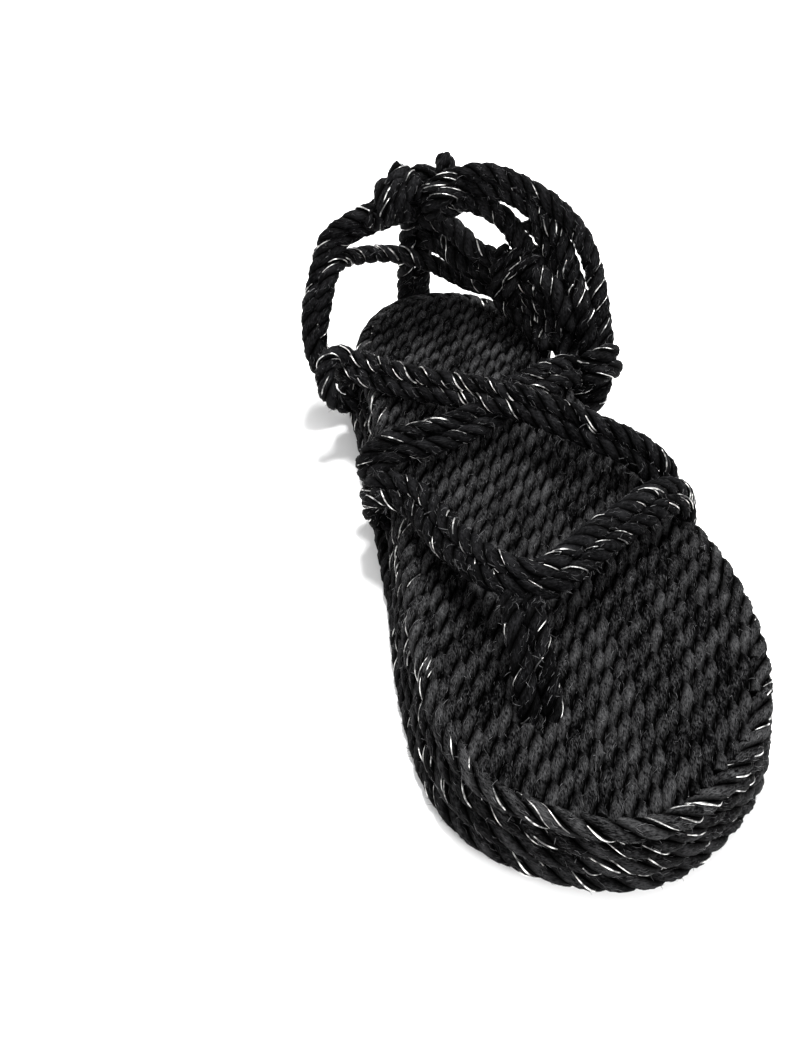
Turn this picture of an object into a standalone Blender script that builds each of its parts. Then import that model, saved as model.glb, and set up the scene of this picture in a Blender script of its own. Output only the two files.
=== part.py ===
"""Rope sandal, left shoe, standing empty on its sole.

Every piece is three-strand rope laid side by side or stacked: a sole of four rope layers with a
coil under the heel, an upper of rope pairs (toe post, front V, crossed instep straps) and an
ankle strap with a riser behind the heel and a tied knot.  Here each rope is a plain round bar.

Axes in metres: +X from heel to toe, +Y to the outer (lateral) side, +Z up.
The origin is on the floor under the centre of the heel coil.
"""
import math

import bmesh
import bpy
from mathutils import Matrix, Vector

MM = 0.001

# Overall sizes
SHOE_LENGTH = 251 * MM          # outsole, heel back to toe tip
BALL_WIDTH = 108 * MM           # scale of the outline across the foot
HEEL_TO_CENTRE = 38 * MM        # heel back to the centre of the coil

# Ropes
SOLE_ROPE = 5.6 * MM            # thickness of one sole layer
STRAP_ROPE = 6.0 * MM
COIL_ROPE = 5.8 * MM
STRAND_PITCH = 4.9 * MM         # spacing of the strands across a sole layer
RIDGE_DEPTH = 1.3 * MM          # how far a strand stands over the hollow beside it

# Stack
LAYER_GAP = 0.3 * MM
LAYER_SETBACK = 1.35 * MM       # each layer's edge stands in from the one below
HEEL_LIFT = COIL_ROPE + LAYER_GAP
HEEL_FLAT_END = 36 * MM
RAMP_END = 98 * MM
TOE_SPRING_START = 150 * MM
TOE_SPRING = 3.6 * MM

OUTLINE_STEP = 11.6 * MM        # spacing of the points along a layer's edge

# Heel coil
COIL_RADIUS = 35 * MM

# Fits
CLEARANCE = 0.35 * MM           # between a strap and the hole it goes into

# Side tab
TAB_LENGTH = 18 * MM
TAB_DROP = 8 * MM
TAB_THICKNESS = 1.0 * MM
TAB_PLACE = 5 * MM              # along the sole, from the middle of the coil
TAB_HEIGHT = 23.0 * MM
TAB_STAND = 2.5 * MM            # middle of the tab, out from the top layer's edge
TAB_TURN = math.radians(5)

# Outline of the outsole: (place, share of length, inner side, outer side as shares of ball width)
OUTLINE = (
    ("heel back", 0.000, 0.000, 0.000),
    ("heel turn", 0.012, 0.128, 0.139),
    ("heel corner", 0.044, 0.240, 0.245),
    ("heel side", 0.092, 0.318, 0.319),
    ("heel centre", 0.151, 0.366, 0.356),
    ("heel front", 0.231, 0.375, 0.375),
    ("arch rear", 0.331, 0.356, 0.403),
    ("arch", 0.430, 0.343, 0.472),
    ("arch front", 0.530, 0.352, 0.566),
    ("ball rear", 0.629, 0.375, 0.624),
    ("ball", 0.709, 0.387, 0.630),
    ("ball front", 0.789, 0.384, 0.602),
    ("toes rear", 0.849, 0.368, 0.550),
    ("toes", 0.896, 0.329, 0.487),
    ("toe turn", 0.936, 0.259, 0.400),
    ("toe corner", 0.972, 0.139, 0.278),
    ("toe end", 0.992, 0.028, 0.181),
    ("toe tip", 1.000, -0.083, 0.083),
)

# Strap routes: (along, across, height) in millimetres from the origin
FRONT_V = (
    (81, -27, 13.7), (81, -34, 13.7), (81, -38.6, 15.6), (81.2, -41.0, 20.5), (82.2, -40.2, 26.5), (86, -35, 30.5),
    (95, -27.5, 32.0), (110, -23, 33.5), (122, -18, 35.5), (132, -12, 38.0), (138, -4.5, 39.0), (137, 2.5, 39.0),
    (132, 10, 38.5), (127, 17, 38.0), (121, 25, 37.0), (115, 34, 36.0), (108.5, 43, 35.0), (104.5, 51, 32.6),
    (102.8, 56.4, 28.2), (102.2, 58.8, 22.5), (102, 57.8, 16.6), (102, 53.4, 13.0), (102, 47, 12.6), (102, 42, 12.6),
)
TOE_POST = (
    (172, -8, 9.4), (171.5, -8, 17.0), (169, -8.2, 25.5), (161, -8.6, 33.0), (152, -8.8, 38.0), (142, -7.5, 40.2),
    (136, -6, 39.6),
)
OVER_STRAP = (
    (16, -24, 18.7), (16, -33, 18.7), (16, -38.8, 20.4), (16.4, -42.0, 25.0), (18.2, -41.6, 30.5), (22.5, -37.5, 34.0),
    (30, -31, 35.5), (38, -21, 36.5), (46, -9, 38.0), (54, 3, 40.0), (62, 13, 41.0), (70, 23, 40.5),
    (78, 33.5, 39.0), (84, 43.5, 36.2), (87.6, 50.2, 32.0), (89.2, 54.4, 26.6), (89.4, 55.2, 20.2), (89.4, 51.8, 14.6),
    (89.4, 46, 12.9), (89.4, 39, 12.9),
)
UNDER_STRAP = (
    (31, 24, 18.7), (31, 33, 18.7), (31, 39.6, 20.4), (31.6, 43.0, 25.0), (33.4, 42.2, 30.6), (37, 36.0, 34.0),
    (42, 26, 34.8), (48, 14, 34.8), (55, 5, 34.5), (61, -4, 34.3), (65, -13, 34.2), (67, -22, 34.0),
    (67.5, -30, 32.8), (67.6, -36.6, 29.0), (67.5, -39.0, 23.4), (67.5, -36.4, 18.0), (67.5, -31, 15.7), (67.5, -24, 15.6),
)
# Where a strap pair goes into the sole and comes out again as the next one
LINKS = (
    ("outer_link", ((102, 45, 12.6), (96, 44, 12.7), (89.4, 43, 12.9))),
    ("inner_link", ((81, -30, 13.7), (74, -29, 14.6), (67.5, -28, 15.6))),
)
HEEL_RISER = (
    (-20, -6, 18.7), (-31, -6, 18.7), (-38.6, -6, 20.4), (-41.9, -6, 26.0), (-41.2, -6, 34.0), (-39.5, -6, 44.0),
    (-37.5, -5.6, 54.0), (-33, -4.6, 64.0), (-26.5, -3.6, 72.5),
)
UPPER_LOOP = (
    (5, -24, 18.7), (5, -34, 18.7), (5, -41.0, 18.9), (6.2, -46.6, 20.4), (6, -50.6, 25.0), (4, -52.2, 31.5),
    (0, -52.2, 37.0), (-5, -51.4, 42.0), (-11, -49.0, 47.5), (-16.5, -46, 54.0), (-20.5, -42, 61.5),
    (-21, -35, 66.5), (-21, -27, 70.0), (-21, -18, 74.2), (-20.5, -8, 78.2), (-19, 2, 82.3), (-17, 11.5, 85.6),
    (-14, 20.5, 85.8), (-9, 29.8, 82.6), (-3, 38.2, 77.6), (5, 45.5, 69.7), (12, 49.4, 60.0), (19, 51.2, 50.0),
    (26, 52.2, 41.0), (32.5, 52.6, 33.0), (38.2, 50.4, 26.4), (41.8, 46.4, 21.2), (43, 40.6, 18.6), (43, 33, 18.4),
    (43, 24, 18.4),
)
UPPER_INNER = (
    (-20, -0.3, 77.9), (-18.5, 6.1, 79.5), (-16.5, 13.1, 79.6), (-13.5, 20, 78.8), (-10, 26.6, 76.8), (-6, 32.9, 73.8),
    (-1.5, 38, 70.6), (3, 41.4, 66.2), (7.5, 43.4, 61.8), (11.5, 44.9, 57.0), (16, 46.2, 52.4), (20, 48.1, 47.1),
    (24.5, 50.6, 41.2),
)
INNER_ARC = (
    (-19.5, 5.3, 75.1), (-18, 12.3, 73.9), (-15, 18.9, 71.5), (-12, 24.2, 67.9), (-8.5, 27.5, 63.4), (-4, 31, 59.4),
    (1, 35.8, 55.5), (6, 40.6, 51.3), (12, 44.1, 46.9), (17.5, 47.7, 41.8), (23, 50.2, 36.8),
)
SIDE_ARC = (
    (-8, 30.9, 70.5), (-4, 34.7, 67.1), (0, 37.9, 62.9), (4.5, 40.5, 58.7), (9, 42.9, 54.0), (14, 45.4, 49.2),
    (20, 49.0, 43.2), (25, 51.0, 37.2),
)
LOWER_LOOP = (
    (-2.2, -24, 18.7), (-2.2, -33, 18.7), (-2.2, -40.2, 19.4), (-1.2, -45.6, 22.0), (0, -48.4, 27.0), (-0.5, -48.4, 32.5),
    (-3, -46.5, 39.0), (-6.5, -44.6, 45.5), (-11.5, -42.2, 51.0), (-18.5, -38.6, 53.2), (-26, -32, 51.5),
    (-31.5, -21.5, 49.0), (-33.8, -10.4, 45.8), (-32.5, -0.6, 42.3), (-28.5, 7.2, 39.4), (-22.5, 14.2, 38.0), (-15, 20.4, 39.6),
    (-7, 26.2, 41.8), (1, 31.8, 43.0), (8, 36.6, 42.3), (14.5, 41.0, 38.8), (19.2, 43.8, 32.4),
    (20.6, 44.0, 25.4), (20.5, 40.0, 20.2), (20.5, 33, 18.7), (20.5, 24, 18.7),
)
BACK_ARC = (
    (-35, -6.5, 61.6), (-32, -0.5, 62.0), (-28, 5, 61.4), (-23, 9.5, 58.7), (-18, 13.0, 56.0), (-12.5, 18.2, 55.0),
    (-7, 23.6, 55.4), (-1, 29, 55.4), (5, 33.7, 54.0), (10.5, 37.8, 51.0), (15.5, 41.0, 46.4), (19.5, 43.4, 40.3),
)
BACK_ARC_2 = (
    (-34.5, -5, 54.8), (-32, -0.5, 54.9), (-27, 4.6, 53.2), (-22, 9.0, 50.6), (-16.5, 14.2, 48.8), (-11, 19.2, 48.9),
    (-5, 25, 49.8), (1, 30.6, 49.4), (7, 35.6, 47.2), (12, 39.2, 43.9),
)
# Rope turned round other ropes: (name, centre, way through it, long radius, short radius, long way), millimetres
TURNS = (
    ("knot_start", (-21.5, -20.5, 74.6), (0.1, 1.0, 0.42), 7.2, 6.6, (1, 0, 0)),
    ("knot_inner", (-21.5, -14, 76.8), (0.1, 1.0, 0.42), 7.8, 7.2, (1, 0, 0)),
    ("knot_middle", (-21.0, -7, 78.4), (0.1, 1.0, 0.38), 8.4, 7.8, (1, 0, 0)),
    ("knot_outer", (-20, 0, 80.0), (0.15, 1.0, 0.35), 8.4, 7.8, (1, 0, 0)),
    ("knot_last", (-18.5, 7, 80.4), (0.2, 1.0, 0.3), 7.6, 7.0, (1, 0, 0)),
    ("slide_rear", (-9, 26.0, 48.6), (0.8, 0.7, 0.05), 10.0, 7.0, (0, 0, 1)),
    ("slide_front", (-1.5, 31.5, 49.4), (0.82, 0.68, 0.0), 10.0, 7.0, (0, 0, 1)),
    ("side_knot", (34.0, 52.2, 33.4), (0.66, 0.1, -0.75), 5.0, 4.6, (0, 1, 0)),
)
KNOT_ENDS = (
    ("inner_end", ((-20, -17.5, 76), (-20.5, -16.4, 82.5), (-21, -14.6, 88.0))),
    ("outer_end", ((-19.5, -0.5, 80), (-19.3, 0.2, 86), (-19.3, 0.8, 91))),
)

BLACK_ROPE = (0.020, 0.020, 0.022, 1.0)
BLACK_TAB = (0.030, 0.030, 0.032, 1.0)


def clear_scene():
    for thing in list(bpy.data.objects):
        bpy.data.objects.remove(thing, do_unlink=True)


def material(name, colour, roughness):
    mat = bpy.data.materials.new(name)
    mat.use_nodes = True
    shader = mat.node_tree.nodes["Principled BSDF"]
    shader.inputs["Base Color"].default_value = colour
    shader.inputs["Roughness"].default_value = roughness
    return mat


def as_object(name, bm, collection):
    bmesh.ops.recalc_face_normals(bm, faces=bm.faces)
    mesh = bpy.data.meshes.new(name)
    bm.to_mesh(mesh)
    bm.free()
    thing = bpy.data.objects.new(name, mesh)
    collection.objects.link(thing)
    return thing


def combine(target, others, operation):
    """Joins or cuts target with others and leaves one plain mesh."""
    for other in others:
        mod = target.modifiers.new(operation.lower(), "BOOLEAN")
        mod.operation = operation
        mod.solver = "EXACT"
        mod.use_self = True
        mod.object = other
        bpy.context.view_layer.update()
        shape = bpy.data.meshes.new_from_object(target.evaluated_get(bpy.context.evaluated_depsgraph_get()))
        target.modifiers.clear()
        old = target.data
        target.data = shape
        bpy.data.meshes.remove(old)
        bpy.data.objects.remove(other, do_unlink=True)
    bm = bmesh.new()
    bm.from_mesh(target.data)
    bmesh.ops.remove_doubles(bm, verts=bm.verts, dist=0.00001)
    bmesh.ops.dissolve_degenerate(bm, edges=bm.edges, dist=0.000005)
    bmesh.ops.recalc_face_normals(bm, faces=bm.faces)
    bm.to_mesh(target.data)
    bm.free()
    return target


def spline(points, step):
    """Smooth line through points, resampled at about one step."""
    pts = [Vector(p) for p in points]
    pts = [pts[0] * 2 - pts[1]] + pts + [pts[-1] * 2 - pts[-2]]
    fine = []
    for i in range(1, len(pts) - 2):
        a, b, c, d = pts[i - 1:i + 3]
        for k in range(12):
            t = k / 12
            fine.append(0.5 * (2 * b + (c - a) * t + (2 * a - 5 * b + 4 * c - d) * t * t
                               + (3 * b - a - 3 * c + d) * t ** 3))
    fine.append(pts[-2])
    total = sum((q - p).length for p, q in zip(fine, fine[1:]))
    count = max(2, round(total / step))
    out, want, run = [fine[0]], total / count, 0.0
    for p, q in zip(fine, fine[1:]):
        seg = (q - p).length
        while run + seg >= want * len(out) - 1e-9 and len(out) < count:
            out.append(p.lerp(q, (want * len(out) - run) / seg))
        run += seg
    out.append(fine[-1])
    return out


def tube(name, line, section, side, collection, closed=False):
    """Sweeps a section, given as (sideways, upward) pairs, along a line without twisting it."""
    bm = bmesh.new()
    rings = []
    side = Vector(side)
    count = len(line)
    last = None
    for i, p in enumerate(line):
        before = line[i - 1] if i or closed else p
        after = line[(i + 1) % count] if i < count - 1 or closed else p
        way = (after - before).normalized()
        if last is None:
            side = (side - way * side.dot(way)).normalized()
        else:
            side = last.rotation_difference(way) @ side
            side = (side - way * side.dot(way)).normalized()
        last = way
        up = way.cross(side)
        rings.append([bm.verts.new(p + side * a + up * b) for a, b in section])
    pairs = list(zip(rings, rings[1:]))
    if closed:
        pairs.append((rings[-1], rings[0]))
    n = len(section)
    for r0, r1 in pairs:
        for k in range(n):
            bm.faces.new((r0[k], r0[(k + 1) % n], r1[(k + 1) % n], r1[k]))
    if not closed:
        bm.faces.new(rings[0])
        bm.faces.new(rings[-1])
    return as_object(name, bm, collection)


def round_section(radius, sides, turn=0.5):
    return [(radius * math.cos(2 * math.pi * (k + turn) / sides),
             radius * math.sin(2 * math.pi * (k + turn) / sides)) for k in range(sides)]


def pair_section(radius):
    """Two ropes side by side with a hollow between them."""
    out = []
    for sign in (1, -1):
        for degrees in (-75, -30, 30, 75):
            a = math.radians(degrees if sign > 0 else 180 + degrees)
            out.append((sign * radius * 0.95 + radius * math.cos(a), radius * math.sin(a)))
        out.append((0.0, sign * radius * 0.72))
    return out


def route(points):
    return [(x * MM, y * MM, z * MM) for x, y, z in points]


def lift(x):
    """Height of the outsole's underside over the floor: coil, ramp, flat forefoot, toe spring."""
    if x < HEEL_FLAT_END:
        return HEEL_LIFT
    if x < RAMP_END:
        t = (x - HEEL_FLAT_END) / (RAMP_END - HEEL_FLAT_END)
        return HEEL_LIFT * (1 - t * t * (3 - 2 * t))
    if x < TOE_SPRING_START:
        return 0.0
    toe = SHOE_LENGTH - HEEL_TO_CENTRE
    return TOE_SPRING * ((x - TOE_SPRING_START) / (toe - TOE_SPRING_START)) ** 2


def edge_line(sign):
    """One side of the outsole from heel back to toe tip."""
    column = 2 if sign < 0 else 3
    pts = [(row[1] * SHOE_LENGTH - HEEL_TO_CENTRE, sign * row[column] * BALL_WIDTH, 0.0) for row in OUTLINE]
    return [(p.x, p.y) for p in spline(pts, OUTLINE_STEP)]


def outline(inset):
    """Inner side and outer side points of the outline, both heel to toe, set in by inset."""
    inner, outer = edge_line(-1), edge_line(1)
    count = min(len(inner), len(outer))

    def pick(line):
        fine = spline([(x, y, 0.0) for x, y in line], (len(line) - 1) * OUTLINE_STEP / (count - 1))
        step = (len(fine) - 1) / (count - 1)
        return [fine[round(i * step)] for i in range(count)]
    inner, outer = pick(inner), pick(outer)
    loop = inner + outer[-2:0:-1]
    n = len(loop)
    moved = []
    for i, p in enumerate(loop):
        way = (loop[(i + 1) % n] - loop[i - 1]).normalized()
        moved.append(p + Vector((-way.y, way.x, 0.0)) * inset)
    return moved, count


def outer_edge_at(x, inset):
    """How far out the outer side lies at one place along the sole."""
    pts, _ = outline(inset)
    for p, q in zip(pts, pts[1:] + pts[:1]):
        if p.y > 0 and q.y > 0 and q.x <= x <= p.x:
            return p.lerp(q, (p.x - x) / (p.x - q.x)).y


def stack(name, rows, collection):
    """A sole layer: rings of (inset, height over the outsole's underside), capped straight across."""
    bm = bmesh.new()
    rings = []
    for inset, height in rows:
        pts, count = outline(inset)
        rings.append([bm.verts.new((p.x, p.y, lift(p.x) + height)) for p in pts])
    n = len(rings[0])
    for r0, r1 in zip(rings, rings[1:]):
        for k in range(n):
            bm.faces.new((r0[k], r0[(k + 1) % n], r1[(k + 1) % n], r1[k]))
    for ring in (rings[0], rings[-1]):
        inner = ring[:count]
        outer = [ring[0]] + ring[:count - 2:-1][:count - 1]
        outer = outer[:count - 1] + [ring[count - 1]]
        bm.faces.new((inner[0], inner[1], outer[1]))
        for i in range(1, count - 2):
            bm.faces.new((inner[i], inner[i + 1], outer[i + 1], outer[i]))
        bm.faces.new((inner[count - 2], inner[count - 1], outer[count - 2]))
    return as_object(name, bm, collection)


def rim(level, first, last, steps):
    """Rows round the outside of one rope of a layer, between two angles from the outward level."""
    radius = SOLE_ROPE / 2
    base = level * (SOLE_ROPE + LAYER_GAP)
    rows = []
    for k in range(steps):
        a = math.radians(first + (last - first) * k / (steps - 1))
        rows.append((level * LAYER_SETBACK + radius - radius * math.cos(a), base + radius + radius * math.sin(a)))
    return rows


def strands(name, level, face_up, collection):
    """Parallel strands along the sole, standing out of one face of a layer, cut to its inner outline."""
    base = level * (SOLE_ROPE + LAYER_GAP)
    crest, hollow = (base + SOLE_ROPE, base + SOLE_ROPE - RIDGE_DEPTH) if face_up else (base, base + RIDGE_DEPTH)
    root = base + SOLE_ROPE / 2
    half = math.ceil(0.62 * BALL_WIDTH / STRAND_PITCH)
    section = [(-half * STRAND_PITCH, root)]
    for k in range(-half, half):
        y = k * STRAND_PITCH
        section += [(y, hollow), (y + 0.27 * STRAND_PITCH, crest), (y + 0.73 * STRAND_PITCH, crest)]
    section += [(half * STRAND_PITCH, hollow), (half * STRAND_PITCH, root)]
    toe = SHOE_LENGTH - HEEL_TO_CENTRE
    stations = [-HEEL_TO_CENTRE - 0.004, HEEL_FLAT_END]
    stations += [HEEL_FLAT_END + (RAMP_END - HEEL_FLAT_END) * k / 3 for k in range(1, 4)]
    stations += [TOE_SPRING_START, (TOE_SPRING_START + toe) / 2]
    stations += [toe + 0.004]
    bm = bmesh.new()
    rings = [[bm.verts.new((x, y, lift(x) + z)) for y, z in section] for x in stations]
    n = len(section)
    for r0, r1 in zip(rings, rings[1:]):
        for k in range(n):
            bm.faces.new((r0[k], r0[(k + 1) % n], r1[(k + 1) % n], r1[k]))
    bm.faces.new(rings[0])
    bm.faces.new(rings[-1])
    slab = as_object(name, bm, collection)
    inset = level * LAYER_SETBACK + SOLE_ROPE * 0.86
    prism = bmesh.new()
    pts, _ = outline(inset)
    low = prism.faces.new([prism.verts.new((p.x, p.y, -0.01)) for p in pts])
    made = bmesh.ops.extrude_face_region(prism, geom=[low])
    bmesh.ops.translate(prism, vec=(0, 0, 0.06), verts=[v for v in made["geom"] if isinstance(v, bmesh.types.BMVert)])
    return combine(slab, [as_object(name + "_edge", prism, collection)], "INTERSECT")


def strap(name, points, side, collection, grow=0.0):
    line = spline(route(points), 9 * MM)
    return tube(name, line, pair_section(STRAP_ROPE / 2 + grow), side, collection)


def single(name, points, side, collection, grow=0.0, sides=6):
    line = spline(route(points), 9 * MM)
    return tube(name, line, round_section(STRAP_ROPE / 2 + grow, sides), side, collection)


def turn(name, centre, way, long_radius, short_radius, long_way, collection):
    """One turn of rope round others, closed on itself."""
    way = Vector(way).normalized()
    far = Vector(long_way)
    far = (far - way * far.dot(way)).normalized()
    near = way.cross(far)
    line = []
    for k in range(8):
        a = 2 * math.pi * k / 8
        line.append((Vector(centre) + far * long_radius * math.cos(a) + near * short_radius * math.sin(a)) * MM)
    return tube(name, line, round_section(STRAP_ROPE / 2, 6), way, collection, closed=True)


def coil(name, collection):
    """Flat spiral of rope, worked from the centre out."""
    pitch = COIL_ROPE * 0.96
    turns = (COIL_RADIUS - COIL_ROPE / 2) / pitch
    line = []
    angle = 1.3 * math.pi
    while angle < turns * 2 * math.pi:
        r = pitch * angle / (2 * math.pi)
        line.append(Vector((r * math.cos(angle), r * math.sin(angle), COIL_ROPE / 2)))
        angle += min(0.75, 10 * MM / r)
    apothem = math.cos(math.pi / 6)
    body = tube(name, line, round_section(COIL_ROPE / 2 / apothem, 6, 0.0), (0, 1, 0), collection)
    def disc(part, radius, segments, low, high):
        bm = bmesh.new()
        bmesh.ops.create_cone(bm, cap_ends=True, segments=segments, radius1=radius, radius2=radius, depth=high - low)
        bmesh.ops.translate(bm, vec=(0, 0, (low + high) / 2), verts=bm.verts)
        return as_object(name + part, bm, collection)
    # The turns are sewn to each other, and the rope's own end fills the middle
    sewn = disc("_sewn", COIL_RADIUS - COIL_ROPE, 20, COIL_ROPE * 0.29, COIL_ROPE * 0.71)
    start = disc("_start", COIL_ROPE * 0.55, 6, 0.0, COIL_ROPE * 0.6)
    return combine(body, [sewn, start], "UNION")


def side_tab(name, collection):
    """Plain fabric tab let into the outer side of the heel, hanging over two layers."""
    bm = bmesh.new()
    bmesh.ops.create_cube(bm, size=1.0)
    bmesh.ops.scale(bm, vec=(TAB_LENGTH, TAB_THICKNESS, TAB_DROP), verts=bm.verts)
    bmesh.ops.bevel(bm, geom=[e for e in bm.edges], offset=0.3 * MM, segments=1, affect="EDGES")
    bmesh.ops.rotate(bm, matrix=Matrix.Rotation(TAB_TURN, 3, "Z"), verts=bm.verts)
    # Its inner face lies in the hollow between the two upper ropes, on the line of the upper rope's edge
    side = outer_edge_at(TAB_PLACE, 3 * LAYER_SETBACK)
    bmesh.ops.translate(bm, vec=(TAB_PLACE, side + TAB_STAND, TAB_HEIGHT), verts=bm.verts)
    return as_object(name, bm, collection)


def build():
    clear_scene()
    parts = bpy.data.collections.new("rope_sandal")
    cutters = bpy.data.collections.new("cutters")
    bpy.context.scene.collection.children.link(parts)
    bpy.context.scene.collection.children.link(cutters)

    outsole = stack("outsole", [(SOLE_ROPE * 0.96, RIDGE_DEPTH * 1.5)] + rim(0, -115, 62, 6), parts)
    combine(outsole, [strands("outsole_strands", 0, False, parts)], "UNION")
    midsole = stack("midsole", rim(1, -62, 62, 4) + rim(2, -62, 62, 4), parts)
    insole = stack("insole", rim(3, -62, 115, 6) + [(3 * LAYER_SETBACK + SOLE_ROPE * 0.96,
                                                     3 * (SOLE_ROPE + LAYER_GAP) + SOLE_ROPE - RIDGE_DEPTH * 1.5)], parts)
    combine(insole, [strands("insole_strands", 3, True, parts)], "UNION")
    heel_coil = coil("heel_coil", parts)

    upper = strap("upper", FRONT_V, (1, 0, 0), parts)
    pieces = [strap("toe_post", TOE_POST, (0, 1, 0), parts),
              strap("over_strap", OVER_STRAP, (1, 0, 0), parts),
              strap("under_strap", UNDER_STRAP, (1, 0, 0), parts)]
    pieces += [single(n, p, (0, 0, 1), parts) for n, p in LINKS]
    combine(upper, pieces, "UNION")

    ankle = single("ankle_strap", UPPER_LOOP, (1, 0, 0), parts)
    pieces = [single("lower_loop", LOWER_LOOP, (1, 0, 0), parts),
              strap("heel_riser", HEEL_RISER, (0, 1, 0), parts),
              single("upper_inner", UPPER_INNER, (1, 0, 0), parts),
              single("inner_arc", INNER_ARC, (1, 0, 0), parts),
              single("side_arc", SIDE_ARC, (1, 0, 0), parts),
              single("back_arc", BACK_ARC, (1, 0, 0), parts),
              single("back_arc_2", BACK_ARC_2, (1, 0, 0), parts)]
    pieces += [turn(*row, parts) for row in TURNS]
    pieces += [single(n, p, (1, 0, 0), parts) for n, p in KNOT_ENDS]
    combine(ankle, pieces, "UNION")

    def upper_holes(name):
        return [strap(name + "_v", FRONT_V, (1, 0, 0), cutters, CLEARANCE),
                strap(name + "_over", OVER_STRAP, (1, 0, 0), cutters, CLEARANCE),
                strap(name + "_under", UNDER_STRAP, (1, 0, 0), cutters, CLEARANCE),
                strap(name + "_post", TOE_POST, (0, 1, 0), cutters, CLEARANCE)]

    combine(insole, upper_holes("notch"), "DIFFERENCE")
    holes = upper_holes("hole") + [strap("hole_riser", HEEL_RISER, (0, 1, 0), cutters, CLEARANCE)]
    holes += [single("hole_" + n, p, (0, 0, 1), cutters, CLEARANCE) for n, p in LINKS]
    holes += [single("hole_upper", UPPER_LOOP, (1, 0, 0), cutters, CLEARANCE),
              single("hole_lower", LOWER_LOOP, (1, 0, 0), cutters, CLEARANCE)]
    combine(midsole, holes, "DIFFERENCE")
    tab = side_tab("side_tab", parts)

    black = material("black_rope", BLACK_ROPE, 0.9)
    for thing in (outsole, midsole, insole, heel_coil, upper, ankle):
        thing.data.materials.append(black)
    tab.data.materials.append(material("black_tab", BLACK_TAB, 0.7))


build()
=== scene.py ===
"""Looks of the rope sandal: every rope is twisted from three strands, with loose fibres and
silver thread.

Lengths are millimetres in the model's own axes, +X to the toe, +Y to the outer side, +Z up;
MM turns them into metres.
"""
import math
import random

import bmesh
import bpy
import numpy as np
from mathutils import Matrix, Vector


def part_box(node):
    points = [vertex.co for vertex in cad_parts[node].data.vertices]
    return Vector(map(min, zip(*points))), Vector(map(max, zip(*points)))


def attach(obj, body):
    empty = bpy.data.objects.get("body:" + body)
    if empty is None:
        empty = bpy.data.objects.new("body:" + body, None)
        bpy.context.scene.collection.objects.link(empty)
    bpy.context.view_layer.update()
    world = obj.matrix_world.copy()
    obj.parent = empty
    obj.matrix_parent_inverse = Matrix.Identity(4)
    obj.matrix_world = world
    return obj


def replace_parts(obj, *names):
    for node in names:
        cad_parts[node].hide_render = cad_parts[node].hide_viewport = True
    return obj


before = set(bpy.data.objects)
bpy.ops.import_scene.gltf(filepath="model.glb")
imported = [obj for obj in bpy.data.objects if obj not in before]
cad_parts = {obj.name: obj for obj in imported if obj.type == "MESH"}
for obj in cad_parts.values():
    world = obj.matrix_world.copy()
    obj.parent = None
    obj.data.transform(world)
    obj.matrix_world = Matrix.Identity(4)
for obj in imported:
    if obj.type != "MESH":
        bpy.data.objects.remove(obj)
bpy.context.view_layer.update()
MM = 0.001

# Sole
SHOE_LENGTH = 251.0
BALL_WIDTH = 108.0
HEEL_TO_CENTRE = 38.0
SOLE_ROPE = 5.6
COIL_ROPE = 5.8
STRAP_ROPE = 6.0
STRAND_PITCH = 4.9        # spacing of the ropes laid side by side
LAYER_GAP = 0.3
LAYER_SETBACK = 1.35      # each layer's edge stands in from the one below
HEEL_LIFT = COIL_ROPE + LAYER_GAP
HEEL_FLAT_END = 36.0
RAMP_END = 98.0
TOE_SPRING_START = 150.0
TOE_SPRING = 3.6
COIL_RADIUS = 35.0
TOE = SHOE_LENGTH - HEEL_TO_CENTRE

# Rope make-up; shares are of the rope's radius
SOLE_LAY = 22.4           # one full twist of a strand, sole ropes
STRAP_LAY = 18.0          # the same, straps and ankle ropes
STRAND_SHARE = 0.44       # strand's half depth
STRAND_SPREAD = 1.32      # strand's width over its depth, pressed against its neighbours
OFFSET_SHARE = 0.62       # strand's place from the rope's middle
FIELD_OFFSET = 0.675      # the same in the sole's field, where neighbours press into each other
RIM_PLUMP = 1.06          # a rope's radius over its named half thickness
FIELD_PLUMP = 1.13
STRAP_PLUMP = 1.06
PAIR_SHARE = 0.96         # half the spacing of a strap's two ropes
NEST_TURN = math.pi / 3   # neighbours nest, the crests of one between the crests of the next

# Loose fibres, lint and silver thread for each metre of rope
RIM_FIBRES, RIM_LINT, RIM_SILVER = 620, 2400, 210
FIELD_FIBRES, FIELD_LINT = 260, 2000
COIL_FIBRES, COIL_SILVER = 300, 130
STRAP_FIBRES, STRAP_LINT, STRAP_SILVER = 1100, 2800, 180
ANKLE_FIBRES, ANKLE_LINT, ANKLE_SILVER = 1000, 2800, 150

SOLE_SEED, COIL_SEED, STRAP_SEED, ANKLE_SEED = 11, 23, 37, 53

# Outline of the outsole: share of length, then inner and outer side as shares of ball width
OUTLINE = (
    (0.000, 0.000, 0.000), (0.012, 0.128, 0.139), (0.044, 0.240, 0.245), (0.092, 0.318, 0.319),
    (0.151, 0.366, 0.356), (0.231, 0.375, 0.375), (0.331, 0.356, 0.403), (0.430, 0.343, 0.472),
    (0.530, 0.352, 0.566), (0.629, 0.375, 0.624), (0.709, 0.387, 0.630), (0.789, 0.384, 0.602),
    (0.849, 0.368, 0.550), (0.896, 0.329, 0.487), (0.936, 0.259, 0.400), (0.972, 0.139, 0.278),
    (0.992, 0.028, 0.181), (1.000, -0.083, 0.083),
)

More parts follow.
